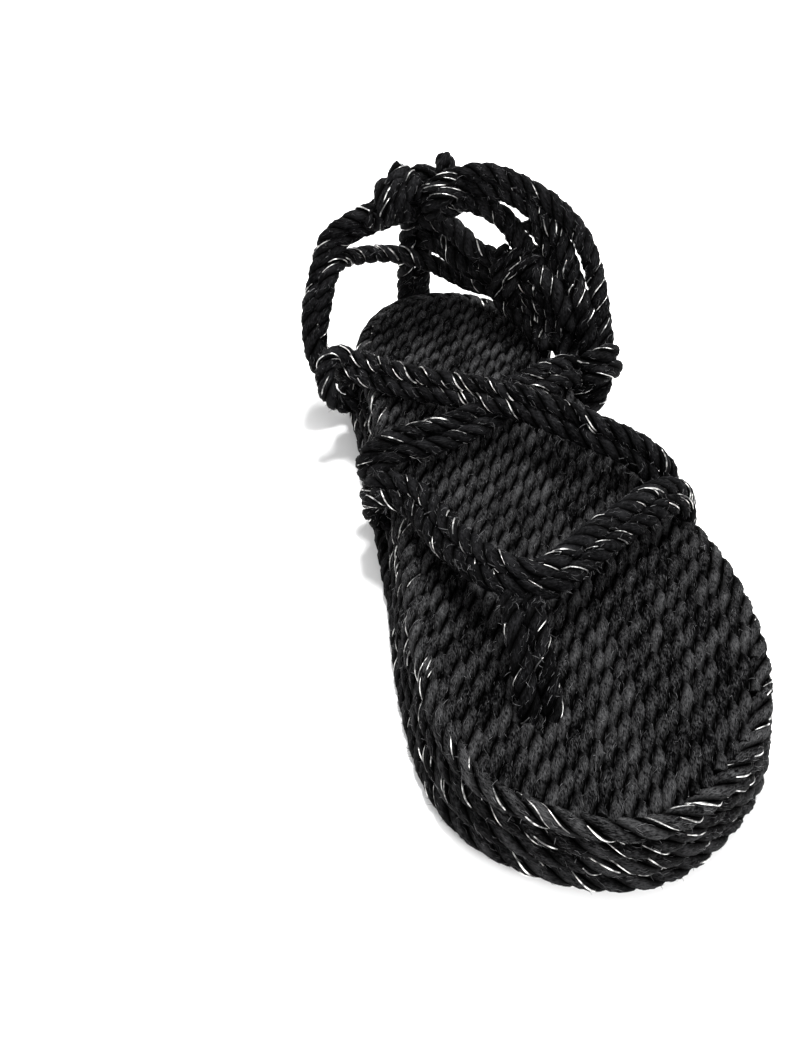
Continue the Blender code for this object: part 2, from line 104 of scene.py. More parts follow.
# Strap pairs
FRONT_V = (
    (81, -27, 13.7), (81, -34, 13.7), (81, -38.6, 15.6), (81.2, -41.0, 20.5),
    (82.2, -40.2, 26.5), (86, -35, 30.5), (95, -27.5, 32.0), (110, -23, 33.5), (122, -18, 35.5),
    (132, -12, 38.0), (138, -4.5, 39.0), (137, 2.5, 39.0), (132, 10, 38.5), (127, 17, 38.0),
    (121, 25, 37.0), (115, 34, 36.0), (108.5, 43, 35.0), (104.5, 51, 32.6), (102.8, 56.4, 28.2),
    (102.2, 58.8, 22.5), (102, 57.8, 16.6), (102, 53.4, 13.0), (102, 47, 12.6), (102, 42, 12.6),
)
TOE_POST = (
    (172, -8, 9.4), (171.5, -8, 17.0), (169, -8.2, 25.5), (161, -8.6, 33.0), (152, -8.6, 36.6),
    (144, -7.4, 36.2), (137, -6, 36.0), (132, -5, 38.0),
)
OVER_STRAP = (
    (16, -24, 18.7), (16, -33, 18.7), (16, -38.8, 20.4), (16.4, -42.0, 25.0),
    (18.2, -41.6, 30.5), (22.5, -37.5, 34.0), (30, -31, 35.5), (38, -21, 36.5), (46, -9, 38.0),
    (54, 3, 40.0), (62, 13, 41.0), (70, 23, 40.5), (78, 33.5, 39.0), (84, 43.5, 36.2),
    (87.6, 50.2, 32.0), (89.2, 54.4, 26.6), (89.4, 55.2, 20.2), (89.4, 51.8, 14.6),
    (89.4, 46, 12.9), (89.4, 39, 12.9),
)
UNDER_STRAP = (
    (31, 24, 18.7), (31, 33, 18.7), (31, 39.6, 20.4), (31.6, 43.0, 25.0), (33.4, 42.2, 30.6),
    (37, 36.0, 34.0), (42, 26, 34.8), (48, 14, 34.8), (55, 5, 34.5), (61, -4, 34.3),
    (65, -13, 34.2), (67, -22, 34.0), (67.5, -30, 32.8), (67.6, -36.6, 29.0),
    (67.5, -39.0, 23.4), (67.5, -36.4, 18.0), (67.5, -31, 15.7), (67.5, -24, 15.6),
)
HEEL_RISER = (
    (-20, -6, 18.7), (-31, -6, 18.7), (-38.6, -6, 20.4), (-41.9, -6, 26.0), (-41.2, -6, 34.0),
    (-39.5, -6, 44.0), (-37.5, -5.6, 54.0), (-33, -4.6, 64.0), (-26.5, -3.6, 72.5),
)
# Single ropes round the ankle
UPPER_LOOP = (
    (5, -24, 18.7), (5, -34, 18.7), (5, -41.0, 18.9), (6.2, -46.6, 20.4), (6, -50.6, 25.0),
    (4, -52.2, 31.5), (0, -52.2, 37.0), (-5, -51.4, 42.0), (-11, -49.0, 47.5),
    (-16.5, -46, 54.6), (-20.5, -42, 62.5), (-21, -35, 67.7), (-21, -27, 71.3),
    (-21, -18, 75.0), (-20.5, -8, 78.2), (-19, 2, 82.3), (-17, 11.5, 85.6), (-14, 20.5, 85.1),
    (-9, 30.0, 81.9), (-3, 38.7, 77.4), (5, 46.5, 69.9), (12, 50.6, 60.2), (19, 52.3, 50.0),
    (26, 53.0, 41.0), (32.5, 52.8, 33.0), (38.2, 50.4, 26.4), (41.8, 46.4, 21.2),
    (43, 40.6, 18.6), (43, 33, 18.4), (43, 24, 18.4),
)
UPPER_INNER = (
    (-20, -0.3, 79.0), (-18.5, 6.3, 80.6), (-16.5, 13.3, 80.7), (-13.5, 20.3, 79.9),
    (-10, 26.8, 77.7), (-6, 32.9, 74.2), (-1.5, 37.7, 70.6), (3, 40.8, 66.0), (7.5, 42.6, 61.4),
    (11.5, 44.0, 56.6), (16, 45.2, 52.2), (20, 47.2, 47.1), (24.5, 49.8, 41.2),
)
INNER_ARC = (
    (-19.5, 5.3, 75.1), (-18, 12.3, 73.9), (-15, 18.9, 71.5), (-12, 24.2, 67.9),
    (-8.5, 27.5, 63.4), (-4, 31, 59.4), (1, 35.8, 55.5), (6, 40.6, 51.3), (12, 44.1, 46.9),
    (17.5, 47.7, 41.8), (23, 50.2, 36.8),
)
SIDE_ARC = (
    (-8, 30.9, 70.5), (-4, 34.7, 67.1), (0, 37.9, 62.9), (4.5, 40.5, 58.7), (9, 42.9, 54.0),
    (14, 45.4, 49.2), (20, 49.0, 43.2), (25, 51.0, 37.2),
)
LOWER_LOOP = (
    (-2.2, -24, 18.7), (-2.2, -33, 18.7), (-2.2, -40.2, 19.4), (-1.2, -45.9, 22.0),
    (0, -49.2, 27.0), (-0.5, -49.8, 32.5), (-3, -48.2, 39.0), (-6.5, -46.2, 45.5),
    (-11.5, -43.6, 51.6), (-18.5, -38.8, 54.2), (-26, -32, 51.5), (-31.5, -21.5, 49.0),
    (-33.8, -10.4, 45.8), (-32.5, -0.6, 42.3), (-28.5, 7.2, 39.4), (-22.5, 14.2, 38.0),
    (-15, 20.4, 39.6), (-7, 26.2, 41.8), (1, 31.8, 43.0), (8, 36.6, 42.3), (14.5, 41.0, 38.8),
    (19.2, 43.8, 32.4), (20.6, 44.0, 25.4), (20.5, 40.0, 20.2), (20.5, 33, 18.7),
    (20.5, 24, 18.7),
)
BACK_ARC = (
    (-35, -6.5, 61.0), (-32, -0.5, 61.3), (-28, 5, 60.6), (-23, 9.5, 57.9), (-18, 13.0, 55.2),
    (-12.5, 18.2, 54.4), (-7, 23.6, 55.4), (-1, 29, 55.4), (5, 33.7, 54.0), (10.5, 37.8, 51.0),
    (15.5, 41.0, 46.4), (19.5, 43.4, 40.3),
)
BACK_ARC_2 = (
    (-34.5, -5, 53.0), (-32, -0.5, 53.0), (-27, 4.6, 51.2), (-22, 9.0, 48.7),
    (-16.5, 14.2, 47.2), (-11, 19.2, 47.6), (-5, 25, 49.8), (1, 30.6, 49.4), (7, 35.6, 47.2),
    (12, 39.2, 43.9),
)
# Hitch over the rear of the inner side
REAR_HITCH = (
    (17.3, -38.3, 30.1), (18.0, -41.1, 36.1), (18.8, -45.5, 37.5), (21.1, -48.8, 34.7),
    (24.2, -49.7, 29.9), (25.5, -48.3, 24.5), (24.1, -44.4, 19.6), (22.0, -38.5, 17.6),
)
LEFT_INNER = (
    (-18.3, -42.2, 54.2), (-20.5, -39.1, 59.8), (-20.7, -34.0, 63.7), (-20.7, -27.9, 66.1),
    (-20.5, -21.1, 68.4), (-21.0, -14.2, 70.0), (-22.0, -8.0, 70.6),
)
SIDE_LOW = (
    (-9.2, 18.5, 43.0), (-3.4, 26.5, 40.0), (4.5, 33.8, 37.0), (15.3, 39.0, 33.5),
    (26.0, 41.8, 30.0),
)
SIDE_LOW_2 = (
    (-6.8, 21.5, 39.0), (1.8, 26.9, 36.6), (11.5, 31.4, 34.6), (21.1, 34.6, 32.4),
)
SIDE_FILL = (
    (18.5, 46.6, 49.0), (24.6, 47.2, 41.5), (29.5, 47.6, 34.0), (35.6, 45.6, 27.0),
    (38.0, 42.0, 22.0),
)
# Rope wound round others: first middle, last middle, way through it, long radius, short radius,
# long way, turns; in order the top knot, the knot at its left, the sliding knot and the side knot
WRAPS = (
    ((-15.2, 2.8, 74.4), (-22.0, -0.6, 80.6), (-0.685, -0.351, 0.639), 7.0, 5.4, (-0.174, 0.93, 0.3255), 2.3),
    ((-19.6, -24.5, 74.6), (-20.6, -9.0, 77.6), (0.35, 1.0, 0.10), 5.6, 5.4, (1, 0, 0), 3.0),
    ((-10.5, 25.0, 48.4), (0.0, 32.5, 49.5), (0.81, 0.69, 0.02), 10.0, 7.0, (0, 0, 1), 2.2),
    ((31.0, 49.4, 36.0), (37.0, 49.8, 29.6), (0.66, 0.1, -0.75), 5.4, 5.0, (0, 1, 0), 1.5),
)
KNOT_HUMP = (
    (-24.8, -10.7, 78.8), (-23.0, -9.5, 82.9), (-22.9, -6.6, 84.6), (-23.5, -3.1, 83.0),
    (-24.8, -0.9, 78.9),
)
CUT_END = (
    (-15.0, -14.5, 72.5), (-15.6, -17.3, 77.0), (-18.4, -18.0, 81.1), (-22.1, -15.9, 83.8),
    (-25.4, -13.8, 85.3),
)
SEALED_END = (
    (-20.2, 2.4, 77.6), (-21.6, 2.2, 81.9), (-23.8, 2.1, 86.0), (-26.6, 2.2, 89.6),
)
ANKLE_ROUTES = (
    (UPPER_LOOP, 3.6), (LEFT_INNER, 3.5), (UPPER_INNER, 3.5), (INNER_ARC, 4.1), (SIDE_ARC, 3.5),
    (LOWER_LOOP, 3.5), (BACK_ARC, 4.1), (BACK_ARC_2, 4.1), (SIDE_LOW, 3.6), (SIDE_LOW_2, 3.4),
    (SIDE_FILL, 4.0),
)                         # each with its rope's radius
ANKLE_RADIUS = 3.5
RISER_RADIUS = 3.6
RISER_APART = 3.4         # half the spacing of the riser's two ropes
HITCH_RADIUS = 3.5
HUMP_RADIUS = 3.1
SEALED_RADIUS = 3.7
BRUSH_HAIRS = 150
BRUSH_RADIUS = 2.6
BRUSH_DROOP = np.array([0, 0, -0.15])

# Side tab
TAB_LENGTH = 17.6
TAB_DROP = 7.8
TAB_THICKNESS = 0.8
TAB_CROWN = 0.25
TAB_RIPPLE = 0.1
TAB_TURN = math.radians(5)
TAB_INWARD = 0.4          # from the middle of the solid's box


def spline(points, step):
    """Smooth line through points, evenly spaced, as an array in metres."""
    p = np.array(points, float)
    p = np.vstack([2 * p[0] - p[1], p, 2 * p[-1] - p[-2]])
    t = np.arange(24)[:, None] / 24
    fine = []
    for i in range(1, len(p) - 2):
        a, b, c, d = p[i - 1:i + 3]
        fine.append(0.5 * (2 * b + (c - a) * t + (2 * a - 5 * b + 4 * c - d) * t ** 2
                           + (3 * b - a - 3 * c + d) * t ** 3))
    fine = np.vstack(fine + [p[-2:-1]])
    return even(fine, step) * MM


def even(line, step):
    """The same line with its points evenly spaced."""
    run = np.concatenate([[0], np.cumsum(np.linalg.norm(np.diff(line, axis=0), axis=1))])
    want = np.linspace(0, run[-1], max(2, round(run[-1] / step)) + 1)
    return np.stack([np.interp(want, run, line[:, k]) for k in range(3)], axis=1)


def unit(v):
    """Directions of length one."""
    return v / np.maximum(np.linalg.norm(v, axis=-1, keepdims=True), 1e-12)


def carried(line, side, closed):
    """Directions along, sideways and up at each point, carried along the line without twist."""
    way = np.roll(line, -1, 0) - np.roll(line, 1, 0) if closed else np.gradient(line, axis=0)
    way = unit(way)
    sides = np.empty_like(line)
    s = np.array(side, float)
    for i, t in enumerate(way):
        s = s - t * s.dot(t)
        s /= np.linalg.norm(s)
        sides[i] = s
    return way, sides, np.cross(way, sides)


def lift(x):
    """Height of the outsole's underside over the floor, in millimetres."""
    t = np.clip((x - HEEL_FLAT_END) / (RAMP_END - HEEL_FLAT_END), 0, 1)
    s = np.clip((x - TOE_SPRING_START) / (TOE - TOE_SPRING_START), 0, None)
    return HEEL_LIFT * (1 - t * t * (3 - 2 * t)) + TOE_SPRING * s ** 2


def outline(inset, step=1.0):
    """Closed line round the outsole, from the heel's back along the inner side, set in by inset."""
    sides = []
    for sign, column in ((-1, 1), (1, 2)):
        pts = [(row[0] * SHOE_LENGTH - HEEL_TO_CENTRE, sign * row[column] * BALL_WIDTH, 0.0)
               for row in OUTLINE]
        sides.append(spline(pts, step) / MM)
    loop = np.vstack([sides[0], sides[1][-2:0:-1]])
    for _ in range(12):
        loop = 0.5 * loop + 0.25 * (np.roll(loop, 1, 0) + np.roll(loop, -1, 0))
    way = unit(np.roll(loop, -1, 0) - np.roll(loop, 1, 0))
    moved = loop + np.stack([-way[:, 1], way[:, 0], 0 * way[:, 0]], axis=1) * inset
    closed = np.vstack([moved, moved[:1]])
    return even(closed, step)[:-1]


OFF_AXIS = np.array([0.31, 0.47, 0.83])    # a direction that no fibre is likely to share
LAY_UNIT = 10 * MM        # rope length for one unit of the lay coordinate
LAY_SHIFT = 37.0          # moves each strand's grain, so that no two strands look alike
FLOOR_GAP = 0.02 * MM     # nothing lies lower


class Sweep:
    """Collects tubes into one mesh with a lay coordinate (round, along) and a tone for each strand."""

    def __init__(self):
        self.co, self.quads, self.caps, self.uv, self.tone = [], [], [], [], []
        self.count = 0

    def tube(self, centre, side, up, radius, sides, tone, closed=False, flat=1.0):
        """Adds a tube round a line; flat is its size along up over its size along side."""
        n = len(centre)
        a = np.arange(sides) * 2 * math.pi / sides
        radius = np.broadcast_to(radius, (n,))
        ring = (np.cos(a)[None, :, None] * side[:, None, :]
                + flat * np.sin(a)[None, :, None] * up[:, None, :])
        co = centre[:, None, :] + ring * radius[:, None, None]
        base = self.count
        self.co.append(co.reshape(-1, 3))
        self.count += n * sides
        rows = np.arange(n if closed else n - 1)
        nxt = (rows + 1) % n
        k = np.arange(sides)
        k1 = (k + 1) % sides
        quad = np.stack([rows[:, None] * sides + k, rows[:, None] * sides + k1,
                         nxt[:, None] * sides + k1, nxt[:, None] * sides + k], axis=-1) + base
        self.quads.append(quad.reshape(-1, 4))
        run = np.concatenate([[0], np.cumsum(np.linalg.norm(np.diff(centre, axis=0), axis=1))])
        run = np.append(run, run[-1] + np.linalg.norm(centre[0] - centre[-1])) / LAY_UNIT
        u0, u1 = k / sides, (k + 1) / sides
        v0, v1 = run[rows][:, None], run[rows + 1][:, None]
        shift = tone * LAY_SHIFT
        corners = [np.stack([u + 0 * v, v + 0 * u + shift], -1)
                   for u, v in ((u0, v0), (u1, v0), (u1, v1), (u0, v1))]
        self.uv.append(np.stack(corners, axis=2).reshape(-1, 2))
        self.tone.append(np.full(n * sides, tone))
        if not closed:
            self.caps.append([base + i for i in range(sides)][::-1])
            self.caps.append([base + (n - 1) * sides + i for i in range(sides)])

    def finish(self, name, mat):
        """Makes the piece."""
        co = np.vstack(self.co)
        co[:, 2] = np.maximum(co[:, 2], FLOOR_GAP)
        quads = np.vstack(self.quads)
        mesh = bpy.data.meshes.new(name)
        mesh.from_pydata(co.tolist(), [], quads.tolist() + self.caps)
        uv = mesh.uv_layers.new(name="lay")
        flat = np.vstack(self.uv)
        total = len(mesh.loops)
        full = np.zeros((total, 2))
        full[:len(flat)] = flat
        uv.data.foreach_set("uv", full.ravel())
        tone = mesh.attributes.new("tone", "FLOAT", "POINT")
        tone.data.foreach_set("value", np.concatenate(self.tone))
        mesh.polygons.foreach_set("use_smooth", np.ones(len(mesh.polygons), bool))
        mesh.materials.append(mat)
        thing = bpy.data.objects.new(name, mesh)
        bpy.context.scene.collection.objects.link(thing)
        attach(thing, "root")
        return thing


def wander(n, rng, amount, waves):
    """Slow random drift of a value along a rope."""
    s = np.linspace(0, 1, n)
    out = np.zeros(n)
    for w in range(1, waves + 1):
        out += np.sin(2 * math.pi * w * s + rng.uniform(0, 6.28)) * rng.uniform(0.3, 1.0)
    return amount * out / max(1.0, math.sqrt(waves))


def rope(sweep, line, radius, rng, side=(0, 0, 1), lay=SOLE_LAY, closed=False, sides=8,
         ends=("plain", "plain"), phase=None, offset=OFFSET_SHARE):
    """Three strands twisted round a line; returns what fibres and silver thread need to follow them."""
    n = len(line)
    way, side, up = carried(line, side, closed)
    run = np.concatenate([[0], np.cumsum(np.linalg.norm(np.diff(line, axis=0), axis=1))])
    total = run[-1] + (np.linalg.norm(line[0] - line[-1]) if closed else 0)
    if closed:
        last = side[-1] - way[0] * side[-1].dot(way[0])
        twist = math.atan2(np.cross(side[0], last).dot(way[0]), last.dot(side[0]))
        laps = round(total / (lay * MM))
        turn = 2 * math.pi * laps * run / total - twist * run / total
    else:
        turn = 2 * math.pi * run / (lay * MM) + wander(n, rng, 0.12, 5)
    phase = rng.uniform(0, 6.28) if phase is None else phase
    shape = np.ones(n)
    for which, kind in enumerate(ends):
        d = np.clip((run if which == 0 else run[-1] - run) / radius, 0, 1)
        if kind == "sealed":
            shape = np.minimum(shape, np.sqrt(np.clip(1 - (1 - d) ** 2, 0.03, 1)))
    strands = []
    for k in range(3):
        a = phase + turn + 2 * math.pi * k / 3
        out = np.cos(a)[:, None] * side + np.sin(a)[:, None] * up
        swell = 1 + (wander(n, rng, 0.03, 9) if not closed else 0)
        centre = line + out * (radius * offset * shape * swell)[:, None]
        along = np.roll(centre, -1, 0) - np.roll(centre, 1, 0) if closed else np.gradient(centre, axis=0)
        along = unit(along)
        inward = unit(-out + along * np.sum(out * along, 1)[:, None])
        across = np.cross(along, inward)
        tone = rng.random()
        uneven = 1 + (wander(n, rng, 0.02, 11) if not closed else 0)
        thick = radius * STRAND_SHARE * shape * uneven
        sweep.tube(centre, inward, across, thick, sides, tone, closed, flat=STRAND_SPREAD)
        strands.append((centre, -inward, across, along))
    return {"line": line, "way": way, "side": side, "up": up, "radius": radius,
            "strands": strands, "run": run}


def fibres(sweep, made, per_metre, rng, longest=4.0, out_way=None):
    """Loose fibres standing off the strands."""
    total = made["run"][-1]
    for _ in range(int(per_metre * total)):
        centre, out, across, along = made["strands"][rng.randrange(3)]
        i = rng.randrange(2, len(centre) - 2)
        b = rng.uniform(-1.2, 1.2)
        normal = out[i] * math.cos(b) + across[i] * math.sin(b)
        if out_way is not None and normal.dot(np.array(out_way)) < -0.2:
            continue
        start = centre[i] + normal * made["radius"] * STRAND_SHARE * 0.9
        d = unit(normal * rng.uniform(0.25, 1.0) + along[i] * rng.uniform(-1, 1)
                 + across[i] * rng.uniform(-0.9, 0.9))
        bend = np.array([rng.uniform(-1, 1), rng.uniform(-1, 1), rng.uniform(-1, 0.4)]) * 0.9
        length = rng.uniform(0.8, longest) * MM * rng.uniform(0.5, 1.0)
        pts, p = [start], start
        for _ in range(4):
            d = unit(d + bend * 0.35)
            p = p + d * length / 4
            pts.append(p)
        pts = np.array(pts)
        pts[:, 2] = np.maximum(pts[:, 2], 0.1 * MM)
        way = unit(np.gradient(pts, axis=0))
        side = unit(np.cross(way, OFF_AXIS))
        thick = rng.uniform(0.045, 0.085) * MM * np.array([1, 1, 0.9, 0.7, 0.3])
        sweep.tube(pts, side, np.cross(way, side), thick, 3, rng.random())


def lint(sweep, made, per_metre, rng, out_way=None):
    """Short pale fibre ends that lie on the strands."""
    total = made["run"][-1]
    for _ in range(int(per_metre * total)):
        centre, out, across, along = made["strands"][rng.randrange(3)]
        i = rng.randrange(0, len(centre) - 3)
        if out_way is not None and out[i].dot(np.array(out_way)) < -0.2:
            continue
        b = rng.uniform(-1.35, 1.35)
        swing = rng.uniform(-0.15, 0.75)
        r = made["radius"] * STRAND_SHARE
        start = rng.random()
        reach = rng.uniform(0.5, 1.3)
        pts, normals = [], []
        for f, rise in ((0.0, 0.95), (0.5, 1.06), (1.0, rng.uniform(0.98, 1.25))):
            j = start + reach * f
            k = min(int(j), 1)
            w = min(j - k, 1.0)
            here = centre[i + k] * (1 - w) + centre[i + k + 1] * w
            a = b + swing * f
            normal = out[i + k] * math.cos(a) + across[i + k] * math.sin(a) * STRAND_SPREAD
            pts.append(here + normal * r * rise)
            normals.append(normal)
        pts = np.array(pts)
        way = unit(np.gradient(pts, axis=0))
        side = unit(np.cross(way, unit(np.array(normals))))
        thick = rng.uniform(0.03, 0.055) * MM * np.array([0.8, 1, 0.5])
        sweep.tube(pts, side, np.cross(side, way), thick, 3, rng.random() ** 3)


def silver(sweep, made, per_metre, rng, out_way=None):
    """Flat silver thread that shows for a few millimetres at a time, edging a strand or lying across it."""
    total = made["run"][-1]
    step = total / (len(made["line"]) - 1)
    for _ in range(int(per_metre * total)):
        centre, out, across, along = made["strands"][rng.randrange(3)]
        edging = rng.random() < 0.65
        length = (rng.uniform(4.0, 11.0) if edging else rng.uniform(2.2, 5.0)) * MM
        count = max(3, round(length / step))
        i = rng.randrange(0, max(1, len(centre) - count - 1))
        span = slice(i, i + count + 1)
        mid = i + count // 2
        if mid >= len(centre) or len(centre[span]) < 3:
            continue
        if out_way is not None and out[mid].dot(np.array(out_way)) < -0.25:
            continue
        f = np.linspace(0, 1, len(centre[span]))
        if edging:
            b = rng.choice((-1, 1)) * (
                rng.uniform(0.95, 1.3) - 0.5 * np.sin(f * math.pi) * rng.uniform(-0.2, 0.9))
        else:
            b = rng.uniform(-0.9, 0.5) + f * rng.uniform(0.5, 1.3)
        high = np.sin(np.pi * (0.04 + 0.92 * f)) ** 0.4
        r = made["radius"] * STRAND_SHARE
        normal = (out[span] * np.cos(b)[:, None]
                  + across[span] * np.sin(b)[:, None] * STRAND_SPREAD)
        pts = centre[span] + normal * (r * (0.90 + 0.14 * high))[:, None]
        pts = spline(pts / MM, 0.7)
        way = unit(np.gradient(pts, axis=0))
        t = np.linspace(0, 1, len(pts))
        lean = unit(np.stack([np.interp(t, f, normal[:, k]) for k in range(3)], axis=1))
        side = unit(np.cross(way, lean))
        width = rng.uniform(0.16, 0.30) * MM * np.sin(np.pi * (0.12 + 0.76 * t)) ** 0.6
        sweep.tube(pts, side, np.cross(side, way), width, 4, rng.random(), flat=0.5)


def tree(mat):
    """A material's nodes, links and shader."""
    mat.use_nodes = True
    nodes, links = mat.node_tree.nodes, mat.node_tree.links
    return nodes, links, nodes["Principled BSDF"]


def rope_material(name, dark, light, roughness, gloss):
    """Matte black filament rope: fine fibres along each strand, a drifting tone, and painted shade that
    darkens each strand's inner side, so that the crests show greyer.
    """
    mat = bpy.data.materials.new(name)
    nodes, links, shader = tree(mat)
    uv = nodes.new("ShaderNodeUVMap")
    uv.uv_map = "lay"
    split = nodes.new("ShaderNodeSeparateXYZ")
    links.new(uv.outputs["UV"], split.inputs[0])
    # fibres run slightly across the strand, so that they lie along the rope
    lean = nodes.new("ShaderNodeMath")
    lean.operation = "MULTIPLY_ADD"
    links.new(split.outputs["Y"], lean.inputs[0])
    lean.inputs[1].default_value = 0.60
    links.new(split.outputs["X"], lean.inputs[2])

    def stretched(round_scale, along_scale, detail, offset):
        """Noise drawn out along the fibres."""
        a = nodes.new("ShaderNodeMath")
        a.operation = "MULTIPLY"
        links.new(lean.outputs[0], a.inputs[0])
        a.inputs[1].default_value = round_scale
        b = nodes.new("ShaderNodeMath")
        b.operation = "MULTIPLY_ADD"
        links.new(split.outputs["Y"], b.inputs[0])
        b.inputs[1].default_value = along_scale
        b.inputs[2].default_value = offset
        both = nodes.new("ShaderNodeCombineXYZ")
        links.new(a.outputs[0], both.inputs[0])
        links.new(b.outputs[0], both.inputs[1])
        noise = nodes.new("ShaderNodeTexNoise")
        noise.inputs["Scale"].default_value = 1.0
        noise.inputs["Detail"].default_value = detail
        noise.inputs["Roughness"].default_value = 0.72
        links.new(both.outputs[0], noise.inputs["Vector"])
        return noise.outputs[0]

    fine = stretched(26.0, 9.0, 5.0, 0.0)
    broad = stretched(7.0, 2.4, 3.0, 5.0)
    tone = nodes.new("ShaderNodeAttribute")
    tone.attribute_name = "tone"
    place = nodes.new("ShaderNodeTexCoord")
    patch = nodes.new("ShaderNodeTexNoise")
    patch.inputs["Scale"].default_value = 160.0
    patch.inputs["Detail"].default_value = 3.0
    links.new(place.outputs["Object"], patch.inputs["Vector"])

    def mixed(a, b, share):
        m = nodes.new("ShaderNodeMix")
        m.inputs["Factor"].default_value = share
        links.new(a, m.inputs["A"])
        links.new(b, m.inputs["B"])
        return m.outputs["Result"]

    grain = mixed(fine, broad, 0.30)
    spread = mixed(grain, patch.outputs[0], 0.15)
    spread = mixed(spread, tone.outputs["Fac"], 0.06)
    ramp = nodes.new("ShaderNodeValToRGB")
    ramp.color_ramp.elements[0].position = 0.455
    ramp.color_ramp.elements[0].color = dark
    ramp.color_ramp.elements[1].position = 0.66
    ramp.color_ramp.elements[1].color = light
    links.new(spread, ramp.inputs["Fac"])
    # painted shade: the side of a strand that faces the rope's middle is darkened in the base colour, rising
    # smoothly to full tone at the outer crest, for the shade that falls in the valleys between the strands
    round_it = nodes.new("ShaderNodeMath")
    round_it.operation = "PINGPONG"
    round_it.inputs[1].default_value = 0.5
    links.new(split.outputs["X"], round_it.inputs[0])
    painted_valley_shade = nodes.new("ShaderNodeMapRange")
    painted_valley_shade.interpolation_type = "SMOOTHSTEP"
    painted_valley_shade.inputs["From Min"].default_value = 0.20
    painted_valley_shade.inputs["From Max"].default_value = 0.50
    painted_valley_shade.inputs["To Min"].default_value = 0.04
    painted_valley_shade.inputs["To Max"].default_value = 1.0
    links.new(round_it.outputs[0], painted_valley_shade.inputs["Value"])
    # the fibre colour is multiplied by the painted valley shade
    shade = nodes.new("ShaderNodeMix")
    shade.data_type = "RGBA"
    shade.blend_type = "MULTIPLY"
    shade.inputs["Factor"].default_value = 1.0
    links.new(ramp.outputs["Color"], shade.inputs["A"])
    links.new(painted_valley_shade.outputs["Result"], shade.inputs["B"])
    links.new(shade.outputs["Result"], shader.inputs["Base Color"])
    rough = nodes.new("ShaderNodeMapRange")
    rough.inputs["To Min"].default_value = roughness - 0.14
    rough.inputs["To Max"].default_value = roughness + 0.12
    links.new(fine, rough.inputs["Value"])
    links.new(rough.outputs["Result"], shader.inputs["Roughness"])
    shader.inputs["Specular IOR Level"].default_value = gloss
    bump = nodes.new("ShaderNodeBump")
    bump.inputs["Strength"].default_value = 1.0
    bump.inputs["Distance"].default_value = 0.55 * MM
    links.new(grain, bump.inputs["Height"])
    links.new(bump.outputs["Normal"], shader.inputs["Normal"])
    return mat


def fibre_material():
    """Loose fibres, from black to the pale grey of lint."""
    mat = bpy.data.materials.new("loose_fibre")
    nodes, links, shader = tree(mat)
    tone = nodes.new("ShaderNodeAttribute")
    tone.attribute_name = "tone"
    ramp = nodes.new("ShaderNodeValToRGB")
    ramp.color_ramp.elements[0].color = (0.012, 0.012, 0.013, 1)
    ramp.color_ramp.elements[1].color = (0.15, 0.15, 0.155, 1)
    links.new(tone.outputs["Fac"], ramp.inputs["Fac"])
    links.new(ramp.outputs["Color"], shader.inputs["Base Color"])
    shader.inputs["Roughness"].default_value = 0.5
    return mat


def silver_material():
    """Flat metallic thread, dull in places."""
    mat = bpy.data.materials.new("silver_thread")
    nodes, links, shader = tree(mat)
    place = nodes.new("ShaderNodeTexCoord")
    noise = nodes.new("ShaderNodeTexNoise")
    noise.inputs["Scale"].default_value = 420.0
    links.new(place.outputs["Object"], noise.inputs["Vector"])
    ramp = nodes.new("ShaderNodeValToRGB")
    ramp.color_ramp.elements[0].position = 0.42
    ramp.color_ramp.elements[0].color = (0.10, 0.10, 0.10, 1)
    ramp.color_ramp.elements[1].position = 0.62
    ramp.color_ramp.elements[1].color = (0.93, 0.92, 0.90, 1)
    links.new(noise.outputs[0], ramp.inputs["Fac"])
    links.new(ramp.outputs["Color"], shader.inputs["Base Color"])
    shader.inputs["Metallic"].default_value = 0.85
    shader.inputs["Roughness"].default_value = 0.32
    bump = nodes.new("ShaderNodeBump")
    bump.inputs["Strength"].default_value = 0.4
    bump.inputs["Distance"].default_value = 0.05 * MM
    links.new(noise.outputs[0], bump.inputs["Height"])
    links.new(bump.outputs["Normal"], shader.inputs["Normal"])
    return mat


ROPE = rope_material(
    "black_filament_rope", (0.0002, 0.0002, 0.0003, 1), (0.020, 0.020, 0.0215, 1), 0.58, 0.02)
EDGE = rope_material(
    "black_edge_rope", (0.0003, 0.0003, 0.0004, 1), (0.052, 0.052, 0.054, 1), 0.62, 0.02)
FIELD = rope_material(
    "matte_sole_rope", (0.0003, 0.0003, 0.0004, 1), (0.078, 0.078, 0.080, 1), 0.70, 0.01)
FIBRE = fibre_material()
SILVER = silver_material()

sole_hair, strap_hair, field_lint, edge_lint, strap_lint, ankle_lint = (Sweep() for _ in range(6))
thread = Sweep()


def rim(sweep, level, rng, step=1.7):
    """The rope round one layer's edge."""
    r = SOLE_ROPE / 2
    line = outline(level * LAYER_SETBACK + r * 0.98, step)
    line[:, 2] = lift(line[:, 0]) + level * (SOLE_ROPE + LAYER_GAP) + r
    made = rope(sweep, line * MM, r * RIM_PLUMP * MM, rng, closed=True, sides=8)
    fibres(sole_hair, made, RIM_FIBRES, rng, 3.2)
    lint(edge_lint, made, RIM_LINT, rng)
    silver(thread, made, RIM_SILVER, rng)


